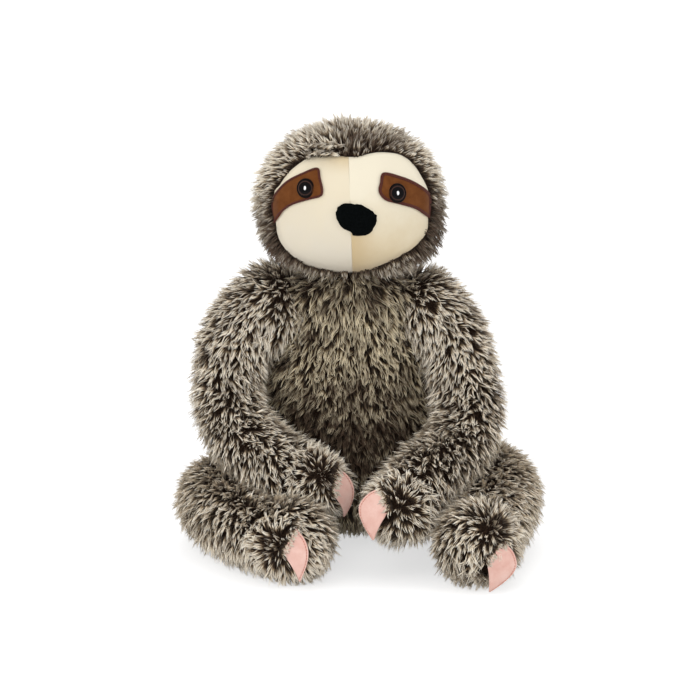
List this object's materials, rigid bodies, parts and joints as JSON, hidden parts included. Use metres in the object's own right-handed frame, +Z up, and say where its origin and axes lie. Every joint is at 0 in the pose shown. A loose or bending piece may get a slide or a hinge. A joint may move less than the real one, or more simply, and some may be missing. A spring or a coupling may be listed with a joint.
{
  "type": "plush sloth toy",
  "caption": "Sitting plush sloth with long arms in front of its belly, outstretched legs, a cream face with suede eye patches, plastic eyes, a flocked nose and a suede claw on each paw.",
  "frame": {"origin": "middle of the footprint, on the surface that the toy sits on", "axes": "+Z up, the toy faces -Y, its own left side is at +X"},
  "size_m": [0.2796, 0.2529, 0.347],
  "materials": {
    "brown_plush": "long brown and grey-beige pile on knitted backing",
    "polyester_fill": "loose white polyester fibre",
    "cream_velboa": "short dense cream pile",
    "brown_suede": "soft brown suede cloth with a stitched satin edge",
    "black_flock": "black flock",
    "black_plastic": "polished, dark iris ring round a black pupil",
    "white_plastic": "moulded",
    "pink_suede": "soft pink suede cloth, two layers, topstitched along the edge"
  },
  "bodies": {
    "torso": {"body_skin": "brown_plush", "body_stuffing": "polyester_fill"},
    "neck": {"neck_stuffing": "polyester_fill"},
    "head": {"head_skin": "brown_plush", "head_stuffing": "polyester_fill", "face_panel_left": "cream_velboa", "face_panel_right": "cream_velboa", "eye_patch_left": "brown_suede", "eye_patch_right": "brown_suede", "eye_left": "black_plastic", "eye_right": "black_plastic", "eye_washer_left": "white_plastic", "eye_washer_right": "white_plastic", "nose_pad": "black_flock"},
    "arm_left": {"arm_skin_left": "brown_plush", "arm_stuffing_left": "polyester_fill"},
    "arm_right": {"arm_skin_right": "brown_plush", "arm_stuffing_right": "polyester_fill"},
    "leg_left": {"leg_skin_left": "brown_plush", "leg_stuffing_left": "polyester_fill"},
    "leg_right": {"leg_skin_right": "brown_plush", "leg_stuffing_right": "polyester_fill"},
    "claw_hand_left": {"hand_claw_left": "pink_suede"},
    "claw_hand_right": {"hand_claw_right": "pink_suede"},
    "claw_foot_left": {"foot_claw_left": "pink_suede"},
    "claw_foot_right": {"foot_claw_right": "pink_suede"}
  },
  "joints": [
    {"name": "head_turn", "type": "hinge", "parent": "torso", "child": "neck", "pos_m": [-0.0052, 0.0316, 0.21838], "axis": [0, 0, 1], "range_deg": [-35, 35], "stiffness_Nm_per_rad": 0.3},
    {"name": "head_nod", "type": "hinge", "parent": "neck", "child": "head", "pos_m": [-0.0052, 0.0316, 0.21838], "axis": [1, 0, 0], "range_deg": [-8, 10], "stiffness_Nm_per_rad": 0.4},
    {"name": "shoulder_left", "type": "hinge", "parent": "torso", "child": "arm_left", "pos_m": [0.0528, 0.0436, 0.192], "axis": [-1, 0, 0], "range_deg": [0, 70]},
    {"name": "shoulder_right", "type": "hinge", "parent": "torso", "child": "arm_right", "pos_m": [-0.0672, 0.0436, 0.192], "axis": [-1, 0, 0], "range_deg": [0, 70]},
    {"name": "hip_left", "type": "hinge", "parent": "torso", "child": "leg_left", "pos_m": [0.0688, 0.0576, 0.0325], "axis": [1, 0, 0], "range_deg": [0, 75]},
    {"name": "hip_right", "type": "hinge", "parent": "torso", "child": "leg_right", "pos_m": [-0.0792, 0.0576, 0.0325], "axis": [1, 0, 0], "range_deg": [0, 75]},
    {"name": "claw_bend_hand_left", "type": "hinge", "parent": "arm_left", "child": "claw_hand_left", "pos_m": [0.02083, -0.09556, 0.07023], "axis": [-0.3443, 0.5474, 0.7628], "range_deg": [0, 40], "stiffness_Nm_per_rad": 0.004},
    {"name": "claw_bend_hand_right", "type": "hinge", "parent": "arm_right", "child": "claw_hand_right", "pos_m": [-0.01576, -0.05933, 0.07497], "axis": [-0.2155, -0.4597, -0.8615], "range_deg": [0, 40], "stiffness_Nm_per_rad": 0.004},
    {"name": "claw_bend_foot_left", "type": "hinge", "parent": "leg_left", "child": "claw_foot_left", "pos_m": [0.10984, -0.12303, 0.03505], "axis": [-0.6984, -0.3341, -0.633], "range_deg": [0, 40], "stiffness_Nm_per_rad": 0.004},
    {"name": "claw_bend_foot_right", "type": "hinge", "parent": "leg_right", "child": "claw_foot_right", "pos_m": [-0.05185, -0.11561, 0.0422], "axis": [-0.5066, -0.1798, -0.8432], "range_deg": [0, 40], "stiffness_Nm_per_rad": 0.004}
  ]
}
